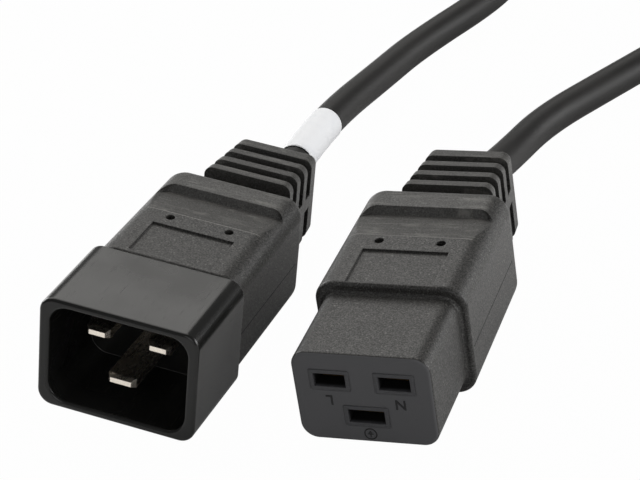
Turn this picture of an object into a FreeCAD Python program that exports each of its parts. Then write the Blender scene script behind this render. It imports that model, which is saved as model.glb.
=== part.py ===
"""C19 power connector on its cord, with the C20 plug of the cord's far end.

Millimetres.  +Z is up and the floor is z = 0.  The C19 connector lies flat on the floor, its mating
face looks along -Y, and the origin is under the middle of its own box.  Both connectors are drawn in
a frame of their own first: y = 0 on the mating face, x = z = 0 on the axis of the contact pattern.
"""

import FreeCAD, Part
import math
import os

from FreeCAD import Placement, Rotation, Vector

# ---------------------------------------------------------------- driving dimensions
# Contact pattern that both halves of the coupler share
POLE_SPACING = 13.0            # line to neutral
POLE_RISE = 4.0                # line and neutral above the axis
EARTH_DROP = 4.0               # earth below the axis
PIN_WIDTH = 5.0
EARTH_PIN_WIDTH = 6.0
PIN_THICKNESS = 2.0

# C19 nose
NOSE_WIDTH = 28.0
NOSE_HEIGHT = 20.2
NOSE_LENGTH = 21.0
NOSE_CORNER = 3.4
NOSE_EDGE = 0.7
SLOT_WIDTH = 6.3
EARTH_SLOT_WIDTH = 7.3
SLOT_HEIGHT = 2.9
COLLAR_WALL = 0.95             # hard rim round each slot, flush with the mating face

# Soft moulding behind the nose, the same tool family for both connectors
SHOULDER_SIDE = 1.7            # step from the nose out to the body, at each side
SHOULDER_TOP = 2.4             # and above and below the nose
SHOULDER_EDGE = 0.5            # rounding of the shoulder, as a share of its narrow step
SHOULDER_ROOT = 0.45           # and of the hollow where the nose meets it
BODY_TAPER = 0.3               # that each side loses towards the back
BODY_CORNER = 4.6
C19_BODY_END = 59.6            # from the mating face
C20_BODY_END = 62.2
SCOOP_DEPTH = 1.7
SCOOP_LEAN = 0.8               # slant of the wall that faces the finger
SCOOP_WIDTH = 28.4
SCOOP_CORNER = 3.6
SCOOP_LENGTH = 11.5            # from the witness line back to the flange
FLANGE_LENGTH = 9.0
FLANGE_EDGE = 4.4
HOLE_DIAMETER = 2.0            # holes left by the pins that hold the insert in the mould
HOLE_SPACING = 13.0
HOLE_AHEAD = 2.1               # in front of the witness line
PANEL_WIDTH = 18.0
PANEL_LENGTH = 12.2
PANEL_DEPTH = 0.5
PANEL_AHEAD = 5.3              # rear edge of the panel in front of the witness line

# Ribbed strain relief at the back of the moulding.  The cord bends the one of the C20 plug up a
# little, so the two connectors have their own steps (above, below) and tapers (above, below).
RELIEF_RIBS = 4
RIB_THICKNESS = 2.2
END_RIB_THICKNESS = 3.7
FIRST_GAP = 3.8                # between the body and the first rib
GAP_THICKNESS = 2.8
RELIEF_SIDE_STEP = 5.3         # from the side of the body in to the ribs
RELIEF_STEPS = {"c19": (1.9, 0.4), "c20": (1.1, 1.2)}
RELIEF_SIDE_TAPER = 1.0        # that the ribs lose towards the end, at each side
RELIEF_TAPERS = {"c19": (2.5, 0.6), "c20": (1.75, 1.9)}
RELIEF_CORNER = 2.0
RELIEF_EDGE = 0.8
RELIEF_CORE = 11.4
SPINE_HEIGHT = 3.0
CORD_DROP = {"c19": 1.8, "c20": 1.1}    # cord below the axis of the contacts

# Cord
CORD_DIAMETER = 7.7
CORD_GRIP = 16.1               # length of sheath held in the relief
CORD_LEAD = 3.9                # straight on behind the relief, to the first corner of the route
CORE_DIAMETER = 2.6
CONDUCTOR_DIAMETER = 1.6
CORE_PITCH_RADIUS = 1.75

# C19 insert and contacts
INSERT_WIDTH = 23.4
INSERT_HEIGHT = 15.4
INSERT_FRONT = 2.2
INSERT_LENGTH = 27.0
CHAMBER_WIDTH = 6.9
EARTH_CHAMBER_WIDTH = 7.7
CHAMBER_HEIGHT = 4.6
CHAMBER_FRONT = 3.6
INSERT_CORNER = 1.5
RIM_CORNER = 0.4
CAP_THICKNESS = 2.4
FIT_CLEARANCE = 0.1
SPRING_SHEET = 0.5
SPRING_LENGTH = 13.0
SPRING_WAIST = 0.35            # where the leaves pinch the pin, as a share of their length
SPRING_BOW = 0.7               # and where the bow ends
SPRING_OVERWIDTH = 0.8         # wider than its pin
SPRING_SETBACK = 0.4           # behind the front of its chamber
SPRING_SIDE_GAP = 0.15
SPRING_WEB = 3.0
CONDUCTOR_IN_CORE = 1.0        # bare conductor that goes on inside the insulation
CORE_STRAIGHT = 0.3            # straight share of a core's way, at each of its ends
CRIMP_LENGTH = 6.5
CRIMP_DIAMETER = 3.2

# C20 shroud and pins
SHROUD_SIDE_WALL = 2.3
SHROUD_TOP_WALL = 1.7
SHROUD_CORNER = 3.2
SHROUD_LENGTH = 22.9
SHROUD_LIP = 0.7
NOSE_CLEARANCE = 0.5           # round the C19 nose that goes in
SHROUD_DEPTH = 20.0
BASE_THICKNESS = 5.4
TANG_WIDTH = 25.0              # part of the shroud that the soft moulding grips
TANG_HEIGHT = 17.0
TANG_LENGTH = 11.0
TANG_CORNER = 2.0
TANG_WALL = 1.5
TANG_INNER_CORNER = 1.0
PIN_FOOT = 1.0                 # pin behind the base, before its crimp
CRIMP_ROOT = 0.8               # crimp barrel that the pin goes into
POLE_PIN_TIP = 4.7             # inside the mouth
EARTH_PIN_TIP = 2.3
PIN_POINT = 0.78               # chamfer seen on the wide side
PIN_POINT_THIN = 0.47
PIN_POINT_LENGTH = 1.1

# Where the C20 plug lies: it is held a little twisted and nose-up by its stiff cord
PLUG_X = -47.7
PLUG_FACE_Y = -6.3             # from the C19 mating face
PLUG_Z = 19.85
PLUG_YAW = -2.07
PLUG_PITCH = -5.05
PLUG_ROLL = 11.41

# Coil of the spare length, its tie, and the label sleeve
TURN_RADIUS = 38.6             # middle of the turns
TURNS_WIDE = 3
COIL_MIDDLE = (4.5, 257.2)     # behind the C19 mating face
TIE_THICKNESS = 0.8
TIE_WIDTH = 9.0
TIE_ANGLE = 62.0
LABEL_THICKNESS = 0.3
LABEL_START = 19.4             # behind the strain relief
LABEL_LENGTH = 18.6

# ---------------------------------------------------------------- worked out from them
RECESS_WIDTH = NOSE_WIDTH + 2 * NOSE_CLEARANCE
RECESS_HEIGHT = NOSE_HEIGHT + 2 * NOSE_CLEARANCE
SHROUD_WIDTH = RECESS_WIDTH + 2 * SHROUD_SIDE_WALL
SHROUD_HEIGHT = RECESS_HEIGHT + 2 * SHROUD_TOP_WALL
BODY_FRONT_WIDTH = NOSE_WIDTH + 2 * SHOULDER_SIDE
BODY_REAR_WIDTH = BODY_FRONT_WIDTH - 2 * BODY_TAPER
BODY_HEIGHT = NOSE_HEIGHT + 2 * SHOULDER_TOP
BODY_EDGE = SHOULDER_EDGE * SHOULDER_SIDE
NOSE_ROOT = SHOULDER_ROOT * SHOULDER_SIDE
RELIEF_ROOT_WIDTH = BODY_REAR_WIDTH - 2 * RELIEF_SIDE_STEP
RELIEF_END_WIDTH = RELIEF_ROOT_WIDTH - 2 * RELIEF_SIDE_TAPER
RIB_PITCH = GAP_THICKNESS + RIB_THICKNESS
RELIEF_LENGTH = FIRST_GAP + (RELIEF_RIBS - 1) * RIB_PITCH + END_RIB_THICKNESS
C19_LENGTH = C19_BODY_END + RELIEF_LENGTH
C20_LENGTH = C20_BODY_END + RELIEF_LENGTH
FLOOR = -BODY_HEIGHT / 2
C19_PLACE = Placement(Vector(0, -C19_LENGTH / 2, -FLOOR), Rotation())
C20_PLACE = Placement(
    Vector(PLUG_X, PLUG_FACE_Y - C19_LENGTH / 2, PLUG_Z),
    Rotation(Vector(0, 0, 1), PLUG_YAW)
    * Rotation(Vector(1, 0, 0), PLUG_PITCH)
    * Rotation(Vector(0, 1, 0), PLUG_ROLL),
)
POLES = {
    "line": Vector(-POLE_SPACING / 2, 0, POLE_RISE),
    "neutral": Vector(POLE_SPACING / 2, 0, POLE_RISE),
    "earth": Vector(0, 0, -EARTH_DROP),
}


# ---------------------------------------------------------------- shapes that are used often
def rounded_wire(width, height, corner, y, middle_z=0.0, middle_x=0.0):
    """Rounded rectangle that stands across the Y axis."""
    right, left = middle_x + width / 2, middle_x - width / 2
    top, bottom = middle_z + height / 2, middle_z - height / 2
    slant = corner * (1 - math.sqrt(0.5))

    def at(x, z):
        return Vector(x, y, z)

    edges = [
        Part.LineSegment(at(left + corner, top), at(right - corner, top)),
        Part.Arc(at(right - corner, top), at(right - slant, top - slant), at(right, top - corner)),
        Part.LineSegment(at(right, top - corner), at(right, bottom + corner)),
        Part.Arc(
            at(right, bottom + corner), at(right - slant, bottom + slant), at(right - corner, bottom)
        ),
        Part.LineSegment(at(right - corner, bottom), at(left + corner, bottom)),
        Part.Arc(at(left + corner, bottom), at(left + slant, bottom + slant), at(left, bottom + corner)),
        Part.LineSegment(at(left, bottom + corner), at(left, top - corner)),
        Part.Arc(at(left, top - corner), at(left + slant, top - slant), at(left + corner, top)),
    ]
    return Part.Wire([edge.toShape() for edge in edges])


def rounded_bar(width, height, corner, start, end, middle_z=0.0, middle_x=0.0):
    """Rounded rectangular bar along Y."""
    wire = rounded_wire(width, height, corner, start, middle_z, middle_x)
    return Part.Face(wire).extrude(Vector(0, end - start, 0))


def drafted_block(first, last, start, end):
    """Tapered block along Y with flat sides.  Each end: width, height, middle height."""
    (width, height, middle), (far_width, far_height, far_middle) = first, last
    return Part.makeWedge(
        -width / 2, start, middle - height / 2, far_middle - far_height / 2, -far_width / 2,
        width / 2, end, middle + height / 2, far_middle + far_height / 2, far_width / 2,
    )


def drafted_bar(first, last, corner, start, end):
    """The same with rounded long edges."""
    solid = drafted_block(first, last, start, end)
    half = (end - start) / 2
    return solid.makeFillet(corner, [edge for edge in solid.Edges if edge.BoundBox.YLength > half])


def block(width, start, end, bottom, top, middle_x=0.0):
    """Plain block, square to the axes."""
    return Part.makeBox(
        width, end - start, top - bottom, Vector(middle_x - width / 2, start, bottom)
    )


def rod(diameter, start, end, x=0.0, z=0.0):
    """Round bar along Y."""
    return Part.makeCylinder(diameter / 2, end - start, Vector(x, start, z), Vector(0, 1, 0))


def edges_on_plane(shape, y):
    """Edges of the shape that lie wholly on the plane at this y."""
    found = []
    for edge in shape.Edges:
        box = edge.BoundBox
        if abs(box.YMin - y) < 1e-4 and abs(box.YMax - y) < 1e-4:
            found.append(edge)
    return found


def smooth_route(points):
    """Straight runs joined by tangent arcs, each as large as its two runs allow."""
    edges, radii, here = [], [], points[0]
    for before, corner, after in zip(points, points[1:], points[2:]):
        back, ahead = before - corner, after - corner
        half_turn = (math.pi - back.getAngle(ahead)) / 2
        tangent = 0.45 * min(back.Length, ahead.Length)
        radius = tangent / math.tan(half_turn)
        radii.append(radius)
        back.normalize()
        ahead.normalize()
        start, end = corner + back * tangent, corner + ahead * tangent
        inward = (back + ahead).normalize()
        middle = corner + inward * (radius / math.cos(half_turn) - radius)
        edges.append(Part.LineSegment(here, start).toShape())
        edges.append(Part.Arc(start, middle, end).toShape())
        here = end
    edges.append(Part.LineSegment(here, points[-1]).toShape())
    return Part.Wire(edges), radii


def tube(points, diameter):
    """Round section carried along the route: a cylinder for each run, part of a ring for each arc."""
    route, radii = smooth_route(points)
    pieces = []
    for edge in route.Edges:
        start, ahead = edge.Vertexes[0].Point, edge.tangentAt(edge.FirstParameter)
        section = Part.Face(Part.Wire(Part.Circle(start, ahead, diameter / 2).toShape()))
        if isinstance(edge.Curve, Part.Line):
            pieces.append(section.extrude(edge.Vertexes[1].Point - start))
        else:
            turn = math.degrees(edge.Length / edge.Curve.Radius)
            pieces.append(section.revolve(edge.Curve.Center, edge.Curve.Axis, turn))
    return pieces[0].multiFuse(pieces[1:]).removeSplitter(), route, radii


# ---------------------------------------------------------------- the soft moulding
def relief_ribs(kind, start):
    """Tapered rounded block, grooved all round but for a spine along each side."""
    end = start + RELIEF_LENGTH
    (over, under), (top_taper, bottom_taper) = RELIEF_STEPS[kind], RELIEF_TAPERS[kind]
    top, bottom = BODY_HEIGHT / 2 - over, under - BODY_HEIGHT / 2
    tip_top, tip_bottom = top - top_taper, bottom + bottom_taper
    root = (RELIEF_ROOT_WIDTH, top - bottom, (top + bottom) / 2)
    tip = (RELIEF_END_WIDTH, tip_top - tip_bottom, (tip_top + tip_bottom) / 2)
    whole = drafted_bar(root, tip, RELIEF_CORNER, start, end)
    whole = whole.makeFillet(RELIEF_EDGE, edges_on_plane(whole, end))
    reach = BODY_FRONT_WIDTH + BODY_HEIGHT
    spine_top = (top + bottom + SPINE_HEIGHT) / 2
    for number in range(RELIEF_RIBS):
        far = start + FIRST_GAP + number * RIB_PITCH
        near = far - GAP_THICKNESS if number else start
        groove = block(reach, near, far, -reach, reach)
        groove = groove.cut(
            rounded_bar(RELIEF_CORE, RELIEF_CORE, RELIEF_CORNER, near, far, -CORD_DROP[kind])
        )
        groove = groove.cut(block(reach, near, far, spine_top - SPINE_HEIGHT, spine_top))
        whole = whole.cut(groove)
    return whole


def scoop(witness, side):
    """Finger scoop: a slope that starts at the witness line and ends at the wall of the flange."""
    end = witness + SCOOP_LENGTH
    top = BODY_HEIGHT / 2
    slope = Part.makePolygon(
        [
            Vector(-SCOOP_WIDTH, witness, top),
            Vector(-SCOOP_WIDTH, end - SCOOP_LEAN, top - SCOOP_DEPTH),
            Vector(-SCOOP_WIDTH, end, top),
            Vector(-SCOOP_WIDTH, end, top + SCOOP_DEPTH),
            Vector(-SCOOP_WIDTH, witness, top + SCOOP_DEPTH),
            Vector(-SCOOP_WIDTH, witness, top),
        ]
    )
    wedge = Part.Face(slope).extrude(Vector(2 * SCOOP_WIDTH, 0, 0))
    plan = Part.makeBox(
        SCOOP_WIDTH, 3 * SCOOP_LENGTH, BODY_HEIGHT,
        Vector(-SCOOP_WIDTH / 2, end - 3 * SCOOP_LENGTH, 0),
    )
    corners = [
        edge
        for edge in plan.Edges
        if edge.BoundBox.ZLength > 1 and abs(edge.BoundBox.YMax - end) < 1e-4
    ]
    cutter = wedge.common(plan.makeFillet(SCOOP_CORNER, corners))
    if side < 0:
        cutter = cutter.mirror(Vector(0, 0, 0), Vector(0, 0, 1))
    return cutter


def moulding(kind, shoulder, body_end):
    """Body with its scoops, holes and panel, and the strain relief behind it."""
    front, rear = (BODY_FRONT_WIDTH, BODY_HEIGHT, 0), (BODY_REAR_WIDTH, BODY_HEIGHT, 0)
    body = drafted_bar(front, rear, BODY_CORNER, shoulder, body_end)
    body = body.makeFillet(BODY_EDGE, edges_on_plane(body, shoulder))
    body = body.makeFillet(FLANGE_EDGE, edges_on_plane(body, body_end))
    flange = body_end - FLANGE_LENGTH
    witness = flange - SCOOP_LENGTH
    top = BODY_HEIGHT / 2
    for side in (1, -1):
        body = body.cut(scoop(witness, side))
        for x in (-HOLE_SPACING / 2, HOLE_SPACING / 2):
            hole = Part.makeCylinder(
                HOLE_DIAMETER / 2, top, Vector(x, witness - HOLE_AHEAD, 0), Vector(0, 0, side)
            )
            body = body.cut(hole)
    panel_end = witness - PANEL_AHEAD
    body = body.cut(
        block(PANEL_WIDTH, panel_end - PANEL_LENGTH, panel_end, top - PANEL_DEPTH, top + 1)
    )
    return body.fuse(relief_ribs(kind, body_end)).removeSplitter()


def core_route(kind, pole, start, sheath_start):
    """Insulated core from the crimp to its place in the sheath."""
    axis = Vector(0, 0, -CORD_DROP[kind])
    home = axis + (pole - axis).normalize() * CORE_PITCH_RADIUS
    span = sheath_start - start
    return [
        pole + Vector(0, start, 0),
        pole + Vector(0, start + CORE_STRAIGHT * span, 0),
        home + Vector(0, sheath_start - CORE_STRAIGHT * span, 0),
        home + Vector(0, sheath_start, 0),
    ]


# ---------------------------------------------------------------- C19 connector
def slot_size(name):
    return EARTH_SLOT_WIDTH if name == "earth" else SLOT_WIDTH


def chamber_size(name):
    return EARTH_CHAMBER_WIDTH if name == "earth" else CHAMBER_WIDTH


def c19_insert():
    """Hard carrier: a block with a collar to the face round each slot, and a chamber behind it."""
    end = INSERT_FRONT + INSERT_LENGTH
    solid = rounded_bar(INSERT_WIDTH, INSERT_HEIGHT, INSERT_CORNER, INSERT_FRONT, end)
    for name, pole in POLES.items():
        width, height = slot_size(name) + 2 * COLLAR_WALL, SLOT_HEIGHT + 2 * COLLAR_WALL
        solid = solid.fuse(
            rounded_bar(width, height, RIM_CORNER, 0, INSERT_FRONT, pole.z, pole.x)
        )
    envelope = solid.removeSplitter()
    solid = envelope
    for name, pole in POLES.items():
        half = SLOT_HEIGHT / 2
        solid = solid.cut(
            block(slot_size(name), 0, end, pole.z - half, pole.z + half, pole.x)
        )
        half = CHAMBER_HEIGHT / 2
        solid = solid.cut(
            block(chamber_size(name), CHAMBER_FRONT, end, pole.z - half, pole.z + half, pole.x)
        )
    return envelope, solid


def core_holes(solid, start, end):
    for pole in POLES.values():
        solid = solid.cut(rod(CORE_DIAMETER + 2 * FIT_CLEARANCE, start, end, pole.x, pole.z))
    return solid


def c19_contact(name):
    """Folded spring contact: two bowed leaves, the web that joins them, and the crimp barrel."""
    width = (EARTH_PIN_WIDTH if name == "earth" else PIN_WIDTH) + SPRING_OVERWIDTH
    sheet, grip = SPRING_SHEET, PIN_THICKNESS / 2
    start = CHAMBER_FRONT + SPRING_SETBACK
    end = start + SPRING_LENGTH
    rest = CHAMBER_HEIGHT / 2 - sheet - SPRING_SIDE_GAP
    waist, bow_end = start + SPRING_WAIST * SPRING_LENGTH, start + SPRING_BOW * SPRING_LENGTH

    def leaf(offset):
        bow = Part.Arc(
            Vector(0, start, rest + offset),
            Vector(0, waist, grip + offset),
            Vector(0, bow_end, rest + offset),
        )
        flat = Part.LineSegment(Vector(0, bow_end, rest + offset), Vector(0, end, rest + offset))
        return [bow.toShape(), flat.toShape()]

    inner, outer = leaf(0), leaf(sheet)
    outline = Part.Wire(
        inner
        + [Part.LineSegment(Vector(0, end, rest), Vector(0, end, rest + sheet)).toShape()]
        + outer[::-1]
        + [Part.LineSegment(Vector(0, start, rest + sheet), Vector(0, start, rest)).toShape()]
    )
    upper = Part.Face(outline).extrude(Vector(width, 0, 0))
    upper.translate(Vector(-width / 2, 0, 0))
    lower = upper.mirror(Vector(0, 0, 0), Vector(0, 0, 1))
    web = block(width, end - sheet, end, -rest - sheet / 2, rest + sheet / 2)
    neck = block(CONDUCTOR_DIAMETER, end - sheet, end + SPRING_WEB, -sheet, sheet)
    barrel = rod(CRIMP_DIAMETER, end + SPRING_WEB - sheet, end + SPRING_WEB + CRIMP_LENGTH)
    barrel = barrel.cut(
        rod(CONDUCTOR_DIAMETER, end + SPRING_WEB, end + SPRING_WEB + CRIMP_LENGTH)
    )
    solid = upper.fuse([lower, web, neck, barrel]).removeSplitter()
    solid.translate(POLES[name])
    return solid, end + SPRING_WEB


def core(kind, name, conductor_start, crimp_end, sheath_start):
    """Bare conductor in the crimp and the insulated core behind it, as one piece."""
    pole = POLES[name]
    solid = tube(core_route(kind, pole, crimp_end, sheath_start), CORE_DIAMETER)[0]
    bare = rod(CONDUCTOR_DIAMETER, conductor_start, crimp_end + CONDUCTOR_IN_CORE, pole.x, pole.z)
    return solid.fuse(bare).removeSplitter()


def c19_parts():
    envelope, insert = c19_insert()
    insert_end = INSERT_FRONT + INSERT_LENGTH
    cap_end = insert_end + CAP_THICKNESS
    cap_blank = rounded_bar(INSERT_WIDTH, INSERT_HEIGHT, INSERT_CORNER, insert_end, cap_end)
    cap = core_holes(cap_blank, insert_end, cap_end)
    sheath_start = C19_LENGTH - CORD_GRIP
    nose = rounded_bar(NOSE_WIDTH, NOSE_HEIGHT, NOSE_CORNER, 0, NOSE_LENGTH)
    nose = nose.makeFillet(NOSE_EDGE, edges_on_plane(nose, 0))
    soft = nose.fuse(moulding("c19", NOSE_LENGTH, C19_BODY_END))
    inside = (NOSE_WIDTH + 1) / 2
    root = [
        edge
        for edge in edges_on_plane(soft, NOSE_LENGTH)
        if max(abs(edge.BoundBox.XMin), abs(edge.BoundBox.XMax)) < inside
    ]
    soft = soft.makeFillet(NOSE_ROOT, root)
    soft = soft.cut(envelope).cut(cap_blank)
    parts = {"c19_insert": insert, "c19_insert_cap": cap}
    for name in POLES:
        contact, crimp_start = c19_contact(name)
        crimp_end = crimp_start + CRIMP_LENGTH
        route = core_route("c19", POLES[name], crimp_end, sheath_start)
        parts["c19_contact_" + name] = contact
        parts["c19_core_" + name] = core("c19", name, crimp_start, crimp_end, sheath_start)
        soft = soft.cut(tube(route, CORE_DIAMETER)[0])
    parts["c19_overmould"] = soft
    return parts


# ---------------------------------------------------------------- C20 plug
def c20_shroud():
    """Hard shroud with the base that carries the pins, and the tang that the moulding grips."""
    depth = SHROUD_DEPTH
    tang_start = SHROUD_LENGTH
    tang_end = tang_start + TANG_LENGTH
    solid = rounded_bar(SHROUD_WIDTH, SHROUD_HEIGHT, SHROUD_CORNER, 0, SHROUD_LENGTH)
    cavity = rounded_bar(RECESS_WIDTH, RECESS_HEIGHT, NOSE_CORNER + NOSE_CLEARANCE, 0, depth)
    solid = solid.cut(cavity)
    solid = solid.makeFillet(SHROUD_LIP, edges_on_plane(solid, 0))
    tang = rounded_bar(TANG_WIDTH, TANG_HEIGHT, TANG_CORNER, tang_start, tang_end)
    inner_width, inner_height = TANG_WIDTH - 2 * TANG_WALL, TANG_HEIGHT - 2 * TANG_WALL
    base_end = depth + BASE_THICKNESS
    chamber = rounded_bar(inner_width, inner_height, TANG_INNER_CORNER, base_end, tang_end)
    solid = solid.fuse(tang).removeSplitter().cut(chamber)
    for name, pole in POLES.items():
        width = EARTH_PIN_WIDTH if name == "earth" else PIN_WIDTH
        half = PIN_THICKNESS / 2
        solid = solid.cut(block(width, depth, tang_end, pole.z - half, pole.z + half, pole.x))
    return tang, solid


def c20_pin(name):
    """Flat pin with a chamfered point, and the crimp barrel at its back."""
    earth = name == "earth"
    width = EARTH_PIN_WIDTH if earth else PIN_WIDTH
    tip = EARTH_PIN_TIP if earth else POLE_PIN_TIP
    back = SHROUD_DEPTH + BASE_THICKNESS + PIN_FOOT
    thin = PIN_THICKNESS / 2

    tip_size = (width - 2 * PIN_POINT, PIN_THICKNESS - 2 * PIN_POINT_THIN, 0)
    point = drafted_block(tip_size, (width, PIN_THICKNESS, 0), tip, tip + PIN_POINT_LENGTH)
    blade = block(width, tip + PIN_POINT_LENGTH, back, -thin, thin)
    barrel = rod(CRIMP_DIAMETER, back - CRIMP_ROOT, back + CRIMP_LENGTH)
    barrel = barrel.cut(rod(CONDUCTOR_DIAMETER, back, back + CRIMP_LENGTH))
    solid = point.fuse([blade, barrel]).removeSplitter()
    solid.translate(POLES[name])
    return solid, back


def c20_parts():
    envelope, shroud = c20_shroud()
    tang_end = SHROUD_LENGTH + TANG_LENGTH
    cap_end = tang_end + CAP_THICKNESS
    cap_blank = rounded_bar(TANG_WIDTH, TANG_HEIGHT, TANG_CORNER, tang_end, cap_end)
    cap = core_holes(cap_blank, tang_end, cap_end)
    sheath_start = C20_LENGTH - CORD_GRIP
    soft = moulding("c20", SHROUD_LENGTH, C20_BODY_END)
    soft = soft.cut(envelope).cut(cap_blank)
    parts = {"c20_shroud": shroud, "c20_insert_cap": cap}
    for name in POLES:
        pin, crimp_start = c20_pin(name)
        crimp_end = crimp_start + CRIMP_LENGTH
        route = core_route("c20", POLES[name], crimp_end, sheath_start)
        parts["c20_pin_" + name] = pin
        parts["c20_core_" + name] = core("c20", name, crimp_start, crimp_end, sheath_start)
        soft = soft.cut(tube(route, CORE_DIAMETER)[0])
    parts["c20_overmould"] = soft
    return parts


# ---------------------------------------------------------------- the cord
def behind_face(x, y, z):
    """Place in the whole object, with y measured from the C19 mating face."""
    return C19_PLACE.multVec(Vector(x, y, 0)) + Vector(0, 0, z + FLOOR)


def cord_start(kind, place, length):
    """End of the sheath inside the relief, and the first corner outside it."""
    exit_point = place.multVec(Vector(0, length, -CORD_DROP[kind]))
    along = place.Rotation.multVec(Vector(0, 1, 0))
    return [exit_point - along * CORD_GRIP, exit_point + along * CORD_LEAD]


def c19_cord_points():
    """From the C19 connector down to the floor, then up beside the coil to its upper turns."""
    return cord_start("c19", C19_PLACE, C19_LENGTH) + [
        behind_face(0.9, 106.0, 5.3),
        behind_face(4.6, 125.6, CORD_DIAMETER / 2),
        behind_face(15.9, 144.6, CORD_DIAMETER / 2),
        behind_face(32.7, 170.5, 4.6),
        behind_face(44.2, 198.6, 7.2),
        behind_face(49.5, 226.1, 10.4),
        behind_face(47.0, 249.8, 11.2),
    ]


def c20_cord_points():
    """From the C20 plug down to the floor and round to the left of the coil."""
    return cord_start("c20", C20_PLACE, C20_LENGTH) + [
        behind_face(-45.7, 103.0, 8.9),
        behind_face(-44.6, 123.0, 7.0),
        behind_face(-41.1, 143.0, 4.9),
        behind_face(-37.0, 162.0, CORD_DIAMETER / 2),
        behind_face(-23.8, 191.2, CORD_DIAMETER / 2),
        behind_face(-22.6, 207.4, CORD_DIAMETER / 2),
        behind_face(-27.1, 222.7, CORD_DIAMETER / 2),
        behind_face(-34.6, 235.7, CORD_DIAMETER / 2),
    ]


def coil_section(margin, bottom):
    """Outline of the stacked turns, or of the tie round them, across the coil at its right."""
    nest = CORD_DIAMETER * math.sin(math.radians(60))
    half = TURNS_WIDE * CORD_DIAMETER / 2 + margin
    top = TIE_THICKNESS + CORD_DIAMETER + nest + margin
    cut = CORD_DIAMETER / 4 + margin / 2
    corners = [
        (-half + cut, bottom), (half - cut, bottom), (half, bottom + cut), (half, top - cut),
        (half - cut, top), (-half + cut, top), (-half, top - cut), (-half, bottom + cut),
    ]
    points = [Vector(TURN_RADIUS + x, 0, z) for x, z in corners]
    return Part.Face(Part.makePolygon(points + points[:1]))


def coil_parts():
    """Coil of the spare length as one closed ring, and the strap that ties it."""
    up = Vector(0, 0, 1)
    ring = coil_section(0, 0).revolve(Vector(0, 0, 0), up, 360)
    strap = coil_section(TIE_THICKNESS, 0).cut(coil_section(0, TIE_THICKNESS))
    turn = math.degrees(TIE_WIDTH / TURN_RADIUS)
    tie = strap.revolve(Vector(0, 0, 0), up, turn)
    tie.rotate(Vector(0, 0, 0), up, TIE_ANGLE - turn / 2)
    middle = behind_face(*COIL_MIDDLE, 0)
    parts = {"cord_coil": ring.cut(tie), "coil_tie": tie}
    for solid in parts.values():
        solid.translate(middle)
    return parts


def cord_label(points):
    """Blank sleeve round the cord, close behind the C20 plug."""
    sleeve = tube(points, CORD_DIAMETER + 2 * LABEL_THICKNESS)[0]
    start = C20_LENGTH + LABEL_START
    reach = 2 * CORD_DIAMETER
    slab = block(reach, start, start + LABEL_LENGTH, -reach, reach)
    slab.Placement = C20_PLACE
    return sleeve.common(slab)


def cord_parts():
    parts = coil_parts()
    for name, points in (("c19", c19_cord_points()), ("c20", c20_cord_points())):
        solid, route, radii = tube(points, CORD_DIAMETER)
        section = math.pi * CORD_DIAMETER ** 2 / 4
        print("radii", name, ["%.0f" % radius for radius in radii], "length %.0f" % route.Length)
        print("volume over section times length %.4f" % (solid.Volume / section / route.Length))
        parts["cord_" + name + "_run"] = solid.cut(parts["cord_coil"])
    parts["cord_label"] = cord_label(c20_cord_points()).cut(parts["cord_c20_run"])
    return parts


def all_parts():
    """Both connectors where they lie, each moulding fitted round the end of the cord."""
    parts = cord_parts()
    for place, pieces, run in (
        (C19_PLACE, c19_parts(), "cord_c19_run"),
        (C20_PLACE, c20_parts(), "cord_c20_run"),
    ):
        for name, solid in pieces.items():
            solid.Placement = place.multiply(solid.Placement)
            parts[name] = solid.cut(parts[run]) if name.endswith("overmould") else solid
    return parts


if __name__ == "__main__":
    os.makedirs("parts", exist_ok=True)
    for name, solid in all_parts().items():
        print(name, "solids", len(solid.Solids), "volume %.0f" % solid.Volume, solid.isValid())
        solid.exportStep("parts/" + name + ".step")
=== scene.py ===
# %% [markdown]
# # A C19 power connector, its cord and its C20 plug
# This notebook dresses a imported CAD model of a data-centre power lead. The construction (slots,
# springs, pins, ribs) comes from the CAD frame. Here it gets its finishes, its real cord, the label
# sleeve, the strap round the coil and the small marks on the mating face. Blender works in metres,
# and MM turns millimetres into them. The origin is on the floor under the middle of the C19
# connector, whose mating face looks along -Y.

# %% Load the fixed frame
import math

import bmesh
import bpy
from mathutils import Matrix, Vector


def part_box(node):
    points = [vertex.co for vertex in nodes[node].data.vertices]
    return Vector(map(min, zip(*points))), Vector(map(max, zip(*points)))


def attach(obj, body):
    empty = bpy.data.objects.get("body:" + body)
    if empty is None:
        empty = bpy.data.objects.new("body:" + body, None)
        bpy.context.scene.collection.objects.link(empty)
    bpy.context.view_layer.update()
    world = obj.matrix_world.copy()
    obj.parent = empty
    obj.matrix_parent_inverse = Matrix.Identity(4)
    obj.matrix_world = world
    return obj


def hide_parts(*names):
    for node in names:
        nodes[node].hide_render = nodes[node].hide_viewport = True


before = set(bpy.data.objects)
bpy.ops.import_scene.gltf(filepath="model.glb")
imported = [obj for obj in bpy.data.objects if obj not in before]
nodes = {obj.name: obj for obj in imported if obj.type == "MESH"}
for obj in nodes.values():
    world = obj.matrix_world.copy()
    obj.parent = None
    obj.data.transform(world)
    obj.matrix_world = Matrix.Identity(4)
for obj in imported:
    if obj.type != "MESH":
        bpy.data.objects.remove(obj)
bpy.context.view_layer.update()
MM = 0.001

# %% [markdown]
# ## The camera
# A product shot like this is taken with a long lens from above the front right corner, so the two
# connectors keep nearly parallel edges. A short lens close by would show the same things, but it
# would spread the near corners. The three angles are tilt, roll and heading in degrees, and the
# focal length is given for a sensor 36 mm wide. Depth of field stays off.

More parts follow.
